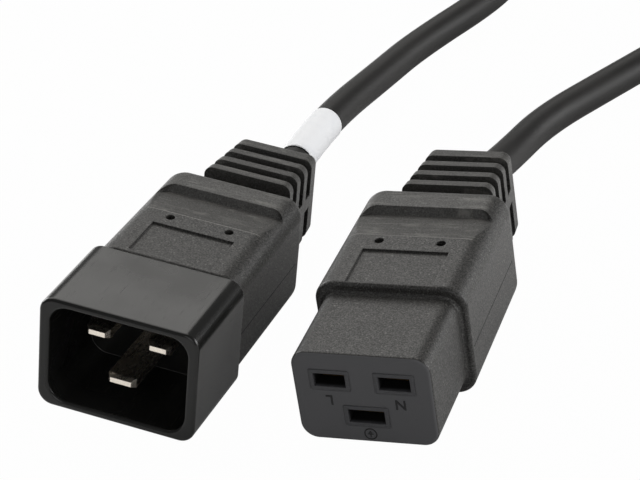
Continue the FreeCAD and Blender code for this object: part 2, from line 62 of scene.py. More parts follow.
# %% The camera
CAMERA_PLACE = (0.1434, -0.3936, 0.2731)
CAMERA_ANGLES = (59.173, 7.935, 17.945)
FOCAL_LENGTH, SENSOR_WIDE = 135.86, 36.0
lens = bpy.data.cameras.new("long_lens")
lens.lens, lens.sensor_width, lens.clip_start = FOCAL_LENGTH, SENSOR_WIDE, 0.01
camera = bpy.data.objects.new("camera", lens)
camera.location = CAMERA_PLACE
camera.rotation_euler = [math.radians(angle) for angle in CAMERA_ANGLES]
bpy.context.scene.collection.objects.link(camera)
bpy.context.scene.camera = camera
print("camera with a %.0f mm lens" % lens.lens)

# %% [markdown]
# ## The route of the cord
# A rubbery mains cord never turns sharply. One open NURBS spline of order 3 runs from the C19
# connector to the coil, round the coil, and out to the C20 plug. A poly line would need hundreds of
# points to look as smooth. Points are listed where the cord lies free, in millimetres, with y
# counted from the mating face, as a maker would mark them on a bench. LYING is the height of the
# cord's middle where it lies on the floor, which is half its diameter.

# %% Points of the two free runs
LYING = 3.85
CORD = 2 * LYING * MM
face_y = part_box("c19_overmould")[0][1]


def from_face(x, y, z):
    """A place in millimetres, y counted from the C19 mating face, as a place in the frame."""
    return Vector((x * MM, y * MM + face_y, z * MM))


c19_run = [
    (0.0, 66.0, 10.7), (0.0, 86.0, 10.7), (0.9, 106.0, 5.3), (4.6, 125.6, LYING),
    (15.9, 144.6, LYING), (32.7, 170.5, 4.6), (44.2, 198.6, 7.2), (50.2, 226.1, 11.4),
    (47.6, 246.0, 11.9),
]
c20_run = [
    (-34.6, 233.4, LYING), (-27.1, 221.0, LYING), (-22.6, 207.4, LYING), (-23.8, 191.2, LYING),
    (-37.0, 162.0, LYING), (-41.1, 143.0, 4.9), (-44.6, 123.0, 7.0), (-45.7, 103.0, 8.9),
    (-44.7, 81.8, 11.0), (-45.5, 61.9, 12.7),
]
print("free points", len(c19_run), len(c20_run))

# %% [markdown]
# ## The coil
# The spare length is wound in two layers: two turns that nest in the grooves of three turns below.
# A plain helix would be shorter to write, but its turns would float or cut into each other. A strand
# enters on the top outer groove, steps to the top inner one, drops inside to the floor and then
# works outwards, one lane a lap. All lane changes share one stretch of the ring, where each strand
# leans on its neighbour, so a smooth step from 0 to 1 moves them together. Lengths are millimetres
# and angles are degrees.

# %% Where a strand of the coil lies
MIDDLE = (4.5, 257.2)
PITCH, MIDDLE_LANE = 7.75, 38.6
LANES = (MIDDLE_LANE - PITCH, MIDDLE_LANE, MIDDLE_LANE + PITCH)
OUTER_GROOVE = LANES[2] - PITCH / 2
CHANGE_FROM, CHANGE_OVER = 197.0, 140.0
NESTED, DROPPED = 60, 180
STRAP_ANGLE, STRAP_LIFT, STRAP_EASE = 62.0, 0.8, 22


def over_floor_turns(radius, shift):
    """Height of a strand that rests on the floor turns, which have moved out by shift."""
    lanes = range(-1, len(LANES) + 1)
    beside = min(abs(radius - LANES[0] - shift - k * PITCH) for k in lanes)
    return LYING + math.sqrt(PITCH * PITCH - min(beside, 0.5 * PITCH) ** 2)


def strand(angle):
    """Radius and height of the wound strand at an angle counted on from the first lap."""
    lap, here = divmod(angle - CHANGE_FROM, 360.0)
    lap, part = int(lap) + 1, min(here / CHANGE_OVER, 1.0)
    moved = part * part * (3 - 2 * part)
    if lap <= 0:
        # in the top outer groove
        radius, height = OUTER_GROOVE, over_floor_turns(OUTER_GROOVE, 0.0)
    elif lap == 1:
        # from there to the top inner groove
        radius = OUTER_GROOVE - PITCH * moved
        height = over_floor_turns(radius, PITCH * moved)
    elif lap == 2:
        # rolling down over the inner floor turn
        lean = math.radians(NESTED + (DROPPED - NESTED) * moved)
        radius = LANES[0] + PITCH * moved + PITCH * math.cos(lean)
        height = LYING + PITCH * math.sin(lean)
    else:
        # outwards on the floor, one lane a lap
        radius, height = LANES[lap - 3] + PITCH * moved, LYING
    from_strap = (angle - STRAP_ANGLE + 180) % 360 - 180
    return radius, height + STRAP_LIFT * math.exp(-(from_strap / STRAP_EASE) ** 2)


print("lanes", LANES, "groove height %.2f mm" % strand(0)[1])

# %% [markdown]
# ## Winding the points
# A spline of order 3 passes inside its control points, by the same share at every step of a circle.
# So each point stands out by that share, and the cord's middle then runs on the lane itself. The
# free run's last point stands in for the coil's first, so the count starts at 1.

# %% Points of the coil and of the whole route
START, END, STEP = -8.0, 4 * 360.0 + 190.0, 18.0
stand_out = 1 / math.cos(math.radians(STEP / 2))
wound = []
for k in range(1, int((END - START) / STEP) + 1):
    angle = START + k * STEP
    radius, height = strand(angle)
    across = radius * stand_out
    turn = math.radians(angle)
    wound.append((MIDDLE[0] + across * math.cos(turn), MIDDLE[1] + across * math.sin(turn), height))
route = [from_face(*p) for p in c19_run + wound + c20_run]
print("wound points", len(wound), "in a route of", len(route))

# %% [markdown]
# ## The cord, and its middle line
# The cord is a curve with a round bevel, which stays easy to change. Each point carries half the
# diameter as its radius and the bevel's depth is 1, because the box of a curve grows by its point
# radius. A second curve without a bevel gives the middle line as a chain of vertices. It measures
# the cord, and the label follows it.

# %% Lay the cord
def lay_route(name):
    """A new curve that holds the route as one open NURBS spline of order 3."""
    curve = bpy.data.curves.new(name, "CURVE")
    curve.dimensions = "3D"
    spline = curve.splines.new("NURBS")
    spline.points.add(len(route) - 1)
    for point, place in zip(spline.points, route):
        point.co, point.radius = (*place, 1), CORD / 2
    spline.order_u, spline.use_endpoint_u = 3, True
    return curve


line = lay_route("cord")
line.resolution_u, line.bevel_resolution = 10, 5
line.bevel_depth, line.use_fill_caps = 1.0, True
cord = bpy.data.objects.new("power_cord", line)
bpy.context.scene.collection.objects.link(cord)
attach(cord, "root")
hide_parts("cord_c19_run", "cord_coil", "cord_c20_run")

bare = lay_route("centre_line")
bare.resolution_u = 40
guide = bpy.data.objects.new("centre_line", bare)
centre = [v.co.copy() for v in bpy.data.meshes.new_from_object(guide).vertices]
bpy.data.objects.remove(guide)
length = sum((b - a).length for a, b in zip(centre, centre[1:]))
print("cord length %.3f m in %d steps" % (length, len(centre)))


# %% [markdown]
# ## Shader maths as Python
# A finish is a network of nodes. Wiring it by hand is slow to read, so a small class wraps a socket
# and lets Python's operators add the Math nodes. The forms that start with r are for a number on the
# left, as in 1 - mask.

# %% A socket in arithmetic
class Wire:
    """A socket that can stand in arithmetic."""

    def __init__(self, finish, socket):
        self.finish, self.socket = finish, socket

    def math(self, operation, *values, flip=False):
        """A Math node on this socket and the values; flip puts this socket last."""
        values = (*values, self) if flip else (self, *values)
        return self.finish.node("Math", {"operation": operation}, dict(enumerate(values)))

    def __add__(self, other):
        return self.math("ADD", other)

    def __radd__(self, other):
        return self.math("ADD", other, flip=True)

    def __sub__(self, other):
        return self.math("SUBTRACT", other)

    def __rsub__(self, other):
        return self.math("SUBTRACT", other, flip=True)

    def __mul__(self, other):
        return self.math("MULTIPLY", other)

    def __rmul__(self, other):
        return self.math("MULTIPLY", other, flip=True)

    def __lt__(self, other):
        return self.math("LESS_THAN", other)

    def __gt__(self, other):
        return self.math("GREATER_THAN", other)

    def __abs__(self):
        return self.math("ABSOLUTE")

    def step(self, low, high):
        """0 below low and 1 above high, with a soft change between them."""
        values = {"Value": self, "From Min": low, "From Max": high}
        return self.finish.node("MapRange", {"interpolation_type": "SMOOTHSTEP"}, values)

    def band(self, middle, sharp, faded):
        """1 within sharp of the middle and 0 past faded."""
        return 1 - abs(self - middle).step(sharp, faded)


# %% [markdown]
# ## One material and its nodes
# A second class holds one material. Its method node takes a node's type, its settings and its
# values or links, and the others are short names for what every finish here needs. What varies over
# a surface goes to colour, roughness, coat weight or normal, and every constant sits on the shader's
# own socket.

# %% A material as a class
class Finish:
    """One material: its Principled shader, and a method that adds any other node."""

    def __init__(self, name, **sockets):
        self.material = bpy.data.materials.new(name)
        self.material.use_nodes = True
        self.tree = self.material.node_tree
        self.shader = self.tree.nodes["Principled BSDF"]
        self.set(**sockets)

    def set(self, **sockets):
        """Gives the shader's own sockets their values or links."""
        self.give(self.shader, {key.replace("_", " "): value for key, value in sockets.items()})

    def give(self, node, values):
        """Sets each value on a node's socket, or links it where it is a wire."""
        for key, value in values.items():
            if isinstance(value, Wire):
                self.tree.links.new(value.socket, node.inputs[key])
            else:
                node.inputs[key].default_value = value

    def node(self, kind, settings=None, values=None, output=0):
        """Adds a node: first its settings, then its sockets' values or links."""
        made = self.tree.nodes.new("ShaderNode" + kind)
        for key, value in (settings or {}).items():
            setattr(made, key, value)
        self.give(made, values or {})
        return Wire(self, made.outputs[output])

    def place(self, matrix=None):
        """Object coordinates, or those of a part that lies turned in the frame."""
        point = self.node("TexCoord", output=3)
        if matrix is None:
            return point
        values = {
            "Vector": point, "Location": matrix.to_translation(), "Rotation": matrix.to_euler(),
        }
        return self.node("Mapping", {"vector_type": "TEXTURE"}, values)

    def axes(self, point):
        """The three coordinates of a point, each as a number."""
        parts = self.node("SeparateXYZ", values={"Vector": point}).socket.node.outputs
        return [Wire(self, part) for part in parts]

    def noise(self, point, scale, detail=2.0, roughness=0.5, distortion=0.0):
        values = {
            "Vector": point, "Scale": scale, "Detail": detail, "Roughness": roughness,
            "Distortion": distortion,
        }
        return self.node("TexNoise", values=values)

    def drawn(self, point, scales, detail, roughness, distortion=0.0):
        """Noise stretched by a different scale along each axis."""
        stretched = self.node("Mapping", values={"Vector": point, "Scale": scales})
        return self.noise(stretched, 1.0, detail, roughness, distortion)

    def mix(self, factor, first, second):
        """From the first colour to the second as the factor goes from 0 to 1."""
        values = {0: factor, 6: first, 7: second}
        return self.node("Mix", {"data_type": "RGBA"}, values, output=2)

    def layers(self, base, *tones):
        """Lays one tone after another over a base, each where its mask says."""
        for mask, tone in tones:
            base = self.mix(mask, base, tone)
        return base

    def rounded(self, radius):
        """A normal rounded over the edges."""
        return self.node("Bevel", {"samples": 6}, {"Radius": radius})

    def edges(self, radius):
        """A normal rounded over the edges, and a mask that is 1 where it turns."""
        rounded = self.node("Bevel", {"samples": 8}, {"Radius": radius})
        flat = self.node("NewGeometry", output=1)
        both = {0: rounded, 1: flat}
        turned = self.node("VectorMath", {"operation": "DOT_PRODUCT"}, both, output=1)
        return rounded, (1 - turned).step(0.01, 0.25)

    def relief(self, height, distance, normal=None):
        """A bump, on the surface's own normal or on a rounded one."""
        values = {"Height": height, "Distance": distance, "Strength": 1.0}
        if normal is not None:
            values["Normal"] = normal
        return self.node("Bump", values=values)


def paint(red, green, blue):
    """A colour as a screen shows it, 0 to 255, turned into the linear light that shaders use."""
    linear = []
    for level in (red, green, blue):
        share = level / 255
        linear.append(((share + 0.055) / 1.055) ** 2.4 if level > 10 else share / 12.92)
    return (*linear, 1.0)


print("mid grey in linear light %.3f" % paint(128, 128, 128)[0])


# %% [markdown]
# ## Soft grained PVC
# Both connectors are moulded over in soft black PVC from a spark-eroded tool, so the skin has a fine
# matt grain that sparkles where it turns away from the light; here that sparkle is painted into the
# colour as pale specks, a painted glint. The grain could be modelled, but at less than half a
# millimetre a bump does it better. Corners are rounded in the shading by a Bevel node, and the same
# node finds the edges, which are painted a little lighter: partly rubbing, partly a painted
# highlight.
# The mould leaves two more signs: the parting line along each side, and a pale witness line across
# the top, where two flows met, painted pale as the highlight of its small ridge. Behind it the top is
# painted lighter in smeared streaks, a painted sheen. The C19's mating face is smooth, so its grain
# starts just behind it; the face is painted much lighter than the grained body, a painted light.

# %% Soft grained PVC
PARTING = -1.6 * MM
SIDES_FROM, TOP_FROM = 11.5 * MM, 4 * MM
AXIS_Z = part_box("c19_overmould")[1][2] / 2


def grained_pvc(name, matrix, face_end, seam_from, witness):
    """Soft PVC. In the part's own axes y runs back from the face and z is up.

    face_end is where the grained skin starts, seam_from the two ends of the parting line, and
    witness the y of the witness line, its middle in x and half its length.
    """
    finish = Finish(name, Specular_IOR_Level=0.22, Coat_Roughness=0.4)
    point = finish.place(matrix)
    x, y, z = finish.axes(point)
    rounded, edge = finish.edges(0.35 * MM)
    skin = (y > face_end) * 1.0
    grain = finish.noise(point, 2900, 2, 0.75)
    pits = grain.step(0.38, 0.62) * skin
    # painted glints: pale specks that stand in for the grain's sparkle
    painted_glints = finish.noise(point, 2300, 1, 0.5).step(0.62, 0.7) * skin
    flow = finish.noise(point, 70, 3, 0.5, 0.6).step(0.35, 0.7)
    scuff = finish.drawn(point, (260, 1500, 260), 4, 0.6).step(0.58, 0.78) * skin
    # streaks of painted sheen, lighter, on the top behind the witness line
    sheen_streaks = finish.drawn(point, (90, 520, 90), 4, 0.6, 1.4).step(0.5, 0.72)

    side = (abs(x) > SIDES_FROM) * (y > seam_from[0]) * (seam_from[1] > y)
    seam = side * z.band(PARTING, 0.08 * MM, 0.2 * MM)
    top = (z > TOP_FROM) * x.band(witness[1], witness[2] - 1 * MM, witness[2])
    # painted sheen: the top behind the witness line is painted lighter
    painted_sheen_behind = top * (y > witness[0])
    # the witness line's small ridge, painted pale as its highlight
    line = top * y.band(witness[0], 0.03 * MM, 0.16 * MM)

    body = finish.mix(flow, paint(26, 26, 25), paint(33, 32, 31))
    base = finish.layers(
        # the smooth C19 face is painted much lighter than the grained body, a painted light
        finish.mix(skin, paint(82, 82, 84), body),
        (pits * 0.8, paint(54, 53, 51)),
        (painted_glints * 0.24, paint(112, 110, 106)),
        (scuff * 0.25, paint(66, 65, 63)),
        (painted_sheen_behind * 0.4, paint(72, 71, 69)),
        (sheen_streaks * painted_sheen_behind * 0.6, paint(104, 103, 99)),
        # edges painted lighter: partly rubbing, partly a painted highlight
        (edge * 0.25, paint(74, 73, 71)),
        (seam, paint(8, 8, 8)),
        (line * 0.5, paint(140, 138, 134)),
    )
    finish.set(
        Base_Color=base,
        Roughness=0.46 + pits * 0.16 + (1 - skin) * 0.1,
        Coat_Weight=(0.12 + pits * 0.5 + painted_glints * 0.3) * (1 - seam) + (1 - skin) * 0.1,
        Normal=finish.relief(grain * skin - seam * 2.0, 0.06 * MM, rounded),
    )
    return finish.material


# %% [markdown]
# ## Where each connector lies
# The C19 connector lies square on the floor. The plug is held up by its stiff cord: it is turned a
# little, tilted nose up and rolled to one side. Its finish is worked out in its own turned axes, so
# that the witness line and the parting line stay square to the moulding.

# %% The two mouldings
PLUG_PLACE = (-47.7, -6.3, 19.85)
PLUG_TURNS = {"Z": -2.07, "X": -5.05, "Y": 11.41}
plug_place = Matrix.Translation(from_face(*PLUG_PLACE))
for axis, angle in PLUG_TURNS.items():
    plug_place = plug_place @ Matrix.Rotation(math.radians(angle), 4, axis)
c19_place = Matrix.Translation((0, face_y, AXIS_Z))
c19_pvc = grained_pvc(
    "c19_grained_pvc", c19_place, face_end=0.25 * MM,
    seam_from=(22 * MM, 54 * MM), witness=(39.2 * MM, -1 * MM, 14 * MM),
)
c20_pvc = grained_pvc(
    "c20_grained_pvc", plug_place, face_end=-1.0,
    seam_from=(23 * MM, 57 * MM), witness=(41.6 * MM, 0.0, 13 * MM),
)
print("axis height", AXIS_Z, "plug turns", PLUG_TURNS)


# %% [markdown]
# ## The hard insert
# The carrier behind the C19 face is glass-filled nylon: dull, a touch bluer than the PVC, with short
# fibres that show as faint streaks. Noise stretched along one axis gives those. Light hardly reaches
# into a slot 3 mm high, so the plastic inside is painted nearly black within a millimetre of the
# face, a painted shade, and a dark line is painted along every edge as a painted shadow outline.

# %% Glass-filled nylon
def glass_filled_nylon():
    finish = Finish("glass_filled_nylon", Specular_IOR_Level=0.45)
    point = finish.place()
    fibre = finish.drawn(point, (900, 900, 5200), 3, 0.6)
    y = finish.axes(point)[1]
    # painted shade: the nylon is painted nearly black inside the slots
    painted_slot_shade = y.step(face_y + 0.15 * MM, face_y + 1.1 * MM)
    rounded, edge = finish.edges(0.14 * MM)
    base = finish.layers(
        finish.mix(fibre.step(0.35, 0.7), paint(58, 58, 60), paint(70, 70, 73)),
        # a dark line painted along every edge, a painted shadow outline
        (edge * 0.65, paint(20, 20, 21)),
        (painted_slot_shade, paint(10, 10, 10)),
    )
    normal = finish.relief(fibre, 0.02 * MM, rounded)
    finish.set(Base_Color=base, Roughness=0.48 + fibre * 0.2, Normal=normal)
    return finish.material


nylon = glass_filled_nylon()
print(nylon.name, len(nylon.node_tree.nodes), "nodes")


# %% [markdown]
# ## The polished shroud
# The plug's shroud is a hard black plastic from a polished tool, so its finish is mostly what it
# reflects: a low roughness with slow waves, hairlines from handling, and edges painted lighter as a
# painted highlight.

# %% Polished shroud
def polished_shroud():
    finish = Finish("polished_shroud", Specular_IOR_Level=0.26, Coat_Roughness=0.12)
    point = finish.place(plug_place)
    rounded, edge = finish.edges(0.3 * MM)
    wave = finish.noise(point, 160, 2, 0.4)
    hairline = finish.drawn(point, (6000, 160, 6000), 2, 0.5).step(0.66, 0.74)
    haze = finish.noise(point, 45, 3, 0.55).step(0.4, 0.75)
    base = finish.layers(
        finish.mix(haze, paint(22, 22, 21), paint(30, 30, 29)),
        # painted highlight along the edges
        (edge * 0.45, paint(104, 104, 103)),
    )
    finish.set(
        Base_Color=base,
        Roughness=0.22 + haze * 0.08 + hairline * 0.1,
        Coat_Weight=0.14 - haze * 0.08,
        Normal=finish.relief(wave + hairline * 0.12, 0.03 * MM, rounded),
    )
    return finish.material


gloss = polished_shroud()
print(gloss.name, len(gloss.node_tree.nodes), "nodes")


# %% [markdown]
# ## Metals
# The pins are brass under nickel: bright, slightly warm, drawn along their length. The springs are
# bare brass strip with a darker oxide in its hollows. Both are one recipe with two tones, because
# what makes a metal look real is less its colour than the streaks in its roughness.

# %% Nickel and brass
def drawn_metal(name, light, dark, roughness):
    finish = Finish(name, Metallic=1.0)
    point = finish.place(plug_place)
    line = finish.drawn(point, (7000, 500, 7000), 3, 0.6)
    stain = finish.noise(point, 420, 3, 0.6).step(0.45, 0.8)
    rounded = finish.rounded(0.1 * MM)
    finish.set(
        Base_Color=finish.mix(stain * 0.3 + line * 0.15, light, dark),
        Roughness=roughness + line * 0.14 + stain * 0.1,
        Normal=finish.relief(line, 0.012 * MM, rounded),
    )
    return finish.material


nickel = drawn_metal("nickel_plate", paint(238, 230, 218), paint(196, 188, 176), 0.2)
brass = drawn_metal("brass_strip", paint(150, 120, 74), paint(84, 62, 38), 0.34)
print("metals:", nickel.name, brass.name)


# %% [markdown]
# ## Insulated cores
# Brown for line, blue for neutral, and green with a yellow stripe for earth. The stripe runs along
# the core and winds slowly round it, as on the drum the core came from. A sine of the place gives
# it with no second mesh.

# %% Cores
def core_insulation(name, tone, stripe=None):
    finish = Finish(name, Specular_IOR_Level=0.45)
    point = finish.place()
    dust = finish.noise(point, 500, 3, 0.6)
    base = finish.mix(dust.step(0.4, 0.8) * 0.3, tone, paint(40, 38, 36))
    if stripe:
        x, y, z = finish.axes(point)
        winding = (y * 220 + x * 300 + z * 140).math("SINE")
        base = finish.mix(winding.step(-0.05, 0.05), base, stripe)
    finish.set(Base_Color=base, Roughness=0.36 + dust * 0.15, Normal=finish.relief(dust, 0.02 * MM))
    return finish.material


cores = {
    "line": core_insulation("core_brown", paint(96, 58, 36)),
    "neutral": core_insulation("core_blue", paint(40, 92, 170)),
    "earth": core_insulation("core_green_yellow", paint(62, 130, 58), paint(214, 196, 60)),
}
print("cores:", list(cores))


# %% [markdown]
# ## The cord's sheath
# The sheath is extruded PVC, smoother than the mouldings and a little shiny. The three cores inside
# are twisted, so three low swells wind round it, a few hundredths of a millimetre high, and one
# passes any line along the cord every 75 mm. The curve's own UV map runs along the cord and round
# it, which keeps the swells with it in every bend.

# %% Sheath
SWELL_EVERY = 75 * MM
CORE_COUNT = 3


def extruded_sheath():
    finish = Finish("extruded_sheath", Specular_IOR_Level=0.32)
    along, around = finish.axes(finish.node("UVMap"))[:2]
    point = finish.place()
    whole_turn = 2 * math.pi
    lengthwise = along * (length / SWELL_EVERY * whole_turn)
    twist = (lengthwise + around * (CORE_COUNT * whole_turn)).math("SINE")
    grain = finish.noise(point, 2600, 3, 0.6)
    patch = finish.noise(point, 55, 3, 0.55)
    base = finish.layers(
        finish.mix(patch.step(0.35, 0.7), paint(22, 21, 20), paint(29, 28, 27)),
        (grain.step(0.55, 0.8) * 0.3, paint(56, 55, 52)),
    )
    finish.set(
        Base_Color=base,
        Roughness=0.42 + patch * 0.12 + grain * 0.08,
        Normal=finish.relief(grain * 0.5 + twist * 0.9, 0.03 * MM),
    )
    return finish.material


cord.data.materials.append(extruded_sheath())
print("swells along the cord", round(length / SWELL_EVERY))


# %% [markdown]
# ## Label film, loop tape and mark skin
# The sleeve near the plug is a white polyester label, left blank here: its creases are slow noise,
# and fine dust sits on them. The strap that ties the coil is black hook-and-loop tape, a mat of tiny
# loops, for which Voronoi cells do well. The raised marks on the face are the face's own PVC, painted
# much darker than the face as a painted shade for their sharp sides, and rubbed on top.

# %% Film, tape and marks
def label_film():
    finish = Finish("label_film", Specular_IOR_Level=0.5)
    point = finish.place()
    crease = finish.noise(point, 210, 3, 0.55, 0.5)
    fine = finish.noise(point, 2400, 2)
    base = finish.layers(
        paint(231, 232, 234),
        (crease.step(0.45, 0.75) * 0.5, paint(220, 222, 226)),
        (fine.step(0.62, 0.75) * 0.12, paint(168, 168, 172)),
    )
    normal = finish.relief(crease, 0.05 * MM)
    finish.set(Base_Color=base, Roughness=0.42 + crease * 0.15, Normal=normal)
    return finish.material


def loop_tape():
    finish = Finish("loop_tape", Sheen_Weight=0.25, Sheen_Roughness=0.5)
    point = finish.place()
    loops = finish.node("TexVoronoi", values={"Vector": point, "Scale": 1900.0})
    mat = finish.noise(point, 1300, 4, 0.7, 1.2)
    base = finish.mix(loops.step(0.1, 0.6) * 0.5 + mat * 0.4, paint(24, 24, 25), paint(62, 61, 60))
    normal = finish.relief(loops + mat * 0.6, 0.12 * MM)
    finish.set(Base_Color=base, Roughness=0.85 + mat * 0.1, Normal=normal)
    return finish.material


def mark_skin_painted_shade():
    finish = Finish("mark_skin_painted_shade", Specular_IOR_Level=0.3)
    point = finish.place()
    grain = finish.noise(point, 2900, 2, 0.75)
    rubbed = finish.noise(point, 1100, 3, 0.6).step(0.45, 0.75)
    # the marks are painted dark as a painted shade; the rubbed patches are wear
    base = finish.mix(rubbed * 0.5, paint(22, 22, 23), paint(40, 40, 41))
    finish.set(Base_Color=base, Roughness=0.44 + grain * 0.14, Normal=finish.relief(grain, 0.01 * MM))
    return finish.material


film, tape, mark_shade_and_wear = label_film(), loop_tape(), mark_skin_painted_shade()
print("finishes:", film.name, tape.name, mark_shade_and_wear.name)

# %% [markdown]
# ## Give every CAD node its finish
# A CAD node keeps its mesh, and only its material slot changes. A table from node to finish is
# shorter and safer than picking objects by hand, and the three poles share one loop.

# %% Hand out the finishes
finishes = {
    "c19_overmould": c19_pvc, "c20_overmould": c20_pvc, "c19_insert": nylon,
    "c19_insert_cap": nylon, "c20_insert_cap": nylon, "c20_shroud": gloss,
}
for pole, insulation in cores.items():
    finishes["c19_contact_" + pole] = brass
    finishes["c20_pin_" + pole] = nickel
    finishes["c19_core_" + pole] = insulation
    finishes["c20_core_" + pole] = insulation
for name, material in finishes.items():
    nodes[name].data.materials.clear()
    nodes[name].data.materials.append(material)
print("finished CAD nodes", len(finishes))


# %% [markdown]
# ## Making a piece
# Every new piece is shaped with bmesh operators, and its place goes into the mesh, so its object
# stays at the origin. This helper closes seams, turns faces outwards, and hands the piece over.

# %% The helper for pieces
CLOSE_BY = 1e-7


def piece(name, shape, material, outwards=True):
    """Closes the seams of a bmesh and makes it a finished piece of the object."""
    bmesh.ops.remove_doubles(shape, verts=shape.verts, dist=CLOSE_BY)
    if outwards:
        bmesh.ops.recalc_face_normals(shape, faces=shape.faces)
    mesh = bpy.data.meshes.new(name)
    shape.to_mesh(mesh)
    shape.free()
    mesh.shade_smooth()
    mesh.materials.append(material)
    made = bpy.data.objects.new(name, mesh)
    bpy.context.scene.collection.objects.link(made)
    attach(made, "root")
    print(name, len(mesh.polygons), "faces")
    return made


def thicken(made, thickness, offset):
    """Gives a single sheet of faces its real thickness."""
    wall = made.modifiers.new("wall", "SOLIDIFY")
    wall.thickness, wall.offset = thickness, offset


# %% [markdown]
# ## The label sleeve
# A label wraps round the cord and its tail lies on its own start. It could be a tube, but then the
# step of the overlap is lost. Here a flat grid is rolled round the centre line by a little more than
# a full turn, further out at the tail, and a Solidify modifier gives the film its thickness.

# %% Roll the label
LABEL_FROM, LABEL_LONG, LABEL_THICK = 30.6 * MM, 21.6 * MM, 0.11 * MM
WRAP_FROM, WRAP_OVER = 250, 384
WRAP_LIFT, TAIL_LIFT, TAIL_SHARE = 0.16, 0.10, 0.14


def place_on_cord(distance):
    """Point and direction on the cord, at this distance from its plug end."""
    gone = 0.0
    for a, b in zip(centre[::-1], centre[-2::-1]):
        span = (b - a).length
        if gone + span >= distance:
            return a.lerp(b, (distance - gone) / span), (b - a).normalized()
        gone += span
    return centre[0], (centre[0] - centre[1]).normalized()


shape = bmesh.new()
bmesh.ops.create_grid(shape, x_segments=24, y_segments=56, size=0.5)
for corner in shape.verts:
    along, around = corner.co.x + 0.5, corner.co.y + 0.5
    spot, ahead = place_on_cord(LABEL_FROM + along * LABEL_LONG)
    side = ahead.cross(Vector((0, 0, 1))).normalized()
    turn = math.radians(WRAP_FROM + around * WRAP_OVER)
    on_tail = max(0.0, around - (1 - TAIL_SHARE)) / TAIL_SHARE
    lift = CORD / 2 + (WRAP_LIFT + TAIL_LIFT * on_tail) * MM
    corner.co = spot + (side * math.cos(turn) + side.cross(ahead) * math.sin(turn)) * lift
label = piece("blank_label", shape, film, outwards=False)
thicken(label, LABEL_THICK, 0.0)
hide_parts("cord_label")

# %% [markdown]
# ## The strap round the coil
# The strap hugs the five strands where it passes, so its outline is the four outer strands' outline.
# Four corner points with rounded corners give that, spun a few degrees about the coil's axis. The
# slanted sides lean at 60 degrees, as strands that nest do, so a corner's place follows from the
# radius with the tangents of 60 and 30 degrees.

# %% Strap
STRAP_GAP, STRAP_THICK = 0.1, 0.65
HUG = LYING + STRAP_GAP
STRAP_WIDE = 9 * MM
WIDE, NARROW = math.tan(math.radians(60)), math.tan(math.radians(30))


def strap_corners(radius):
    """The outline's corners in millimetres: inner foot, inner top, outer top, outer foot."""
    low = LYING + STRAP_LIFT
    high = low + PITCH * math.sin(math.radians(NESTED))
    corners = (
        (LANES[0] - WIDE * radius, low - radius),
        (LANES[0] + PITCH / 2 - NARROW * radius, high + radius),
        (LANES[2] - PITCH / 2 + NARROW * radius, high + radius),
        (LANES[2] + WIDE * radius, low - radius),
    )
    return [Vector((x * MM, 0, z * MM)) for x, z in corners]


def round_corners(shape, corners, reach, segments=8):
    """Cuts corners of an outline round, from this far along their edges."""
    bmesh.ops.bevel(
        shape, geom=corners, offset=reach, affect="VERTICES", segments=segments, profile=0.5,
        material=-1,
    )


def outline(shape, corners, closed):
    """Joins corners by edges, in a ring or in an open chain."""
    ring = [shape.verts.new(corner) for corner in corners]
    for a, b in zip(ring, ring[1:] + (ring[:1] if closed else [])):
        shape.edges.new((a, b))
    return ring


def spin_to_width(shape):
    """Spins the outline over the strap's width and lays it where the strap passes."""
    turn = STRAP_WIDE / (MIDDLE_LANE * MM)
    bmesh.ops.spin(
        shape, geom=shape.verts[:] + shape.edges[:], cent=(0, 0, 0), axis=(0, 0, 1),
        dvec=(0, 0, 0), angle=turn, steps=6, use_merge=False,
    )
    start = Matrix.Rotation(math.radians(STRAP_ANGLE) - turn / 2, 4, "Z")
    lay = Matrix.Translation(from_face(*MIDDLE, 0)) @ start
    bmesh.ops.transform(shape, matrix=lay, verts=shape.verts)


shape = bmesh.new()
inner_foot, inner_top, outer_top, outer_foot = outline(shape, strap_corners(HUG), closed=True)
round_corners(shape, [inner_foot, outer_foot], HUG * MM * WIDE)
round_corners(shape, [inner_top, outer_top], HUG * MM * NARROW)
spin_to_width(shape)
strap = piece("coil_strap", shape, tape)
thicken(strap, STRAP_THICK * MM, 1.0)
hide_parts("coil_tie")

# %% [markdown]
# ## The strap's tail
# The strap's loose end lies on the strap itself, up the outer side and over the top. It is the same
# outline a little further out, cut to an open chain. Its four corners are the only points where just
# two edges meet, so they are easy to find and to round.

# %% Tail
TAIL_GAP, TAIL_THICK, TIP_ROUND = 0.07, 0.6, 1.6
TAIL_OUT = HUG + STRAP_THICK + TAIL_GAP
TAIL_UP_SIDE, TAIL_OVER_TOP = 0.42, 0.78
foot, top, over = strap_corners(TAIL_OUT)[:0:-1]
ends = foot.lerp(top, TAIL_UP_SIDE), top.lerp(over, TAIL_OVER_TOP)
shape = bmesh.new()
chain = outline(shape, (ends[0], top, ends[1]), closed=False)
round_corners(shape, chain[1:2], TAIL_OUT * MM * NARROW)
spin_to_width(shape)
bmesh.ops.remove_doubles(shape, verts=shape.verts, dist=CLOSE_BY)
tips = [corner for corner in shape.verts if len(corner.link_edges) == 2]
round_corners(shape, tips, TIP_ROUND * MM, segments=5)
flap = piece("coil_strap_tail", shape, tape)
thicken(flap, TAIL_THICK * MM, 1.0)

# %% [markdown]
# ## Marks on the mating face
# The face carries small raised marks that any such connector has: L beside the line slot, N beside
# the neutral one, and the earth sign in a ring. They stand a tenth of a millimetre proud, upside
# down when the earth slot is at the bottom. Letters are text turned into a mesh.

# %% Letters
MARK_HALF_THICK, LETTER_HIGH = 0.104 * MM, 2.1 * MM
SIZE_PER_CAPITAL = 1.45
UPSIDE_DOWN = Matrix.Rotation(math.pi, 4, "Y")
STAND_UP = Matrix.Rotation(math.pi / 2, 4, "X")


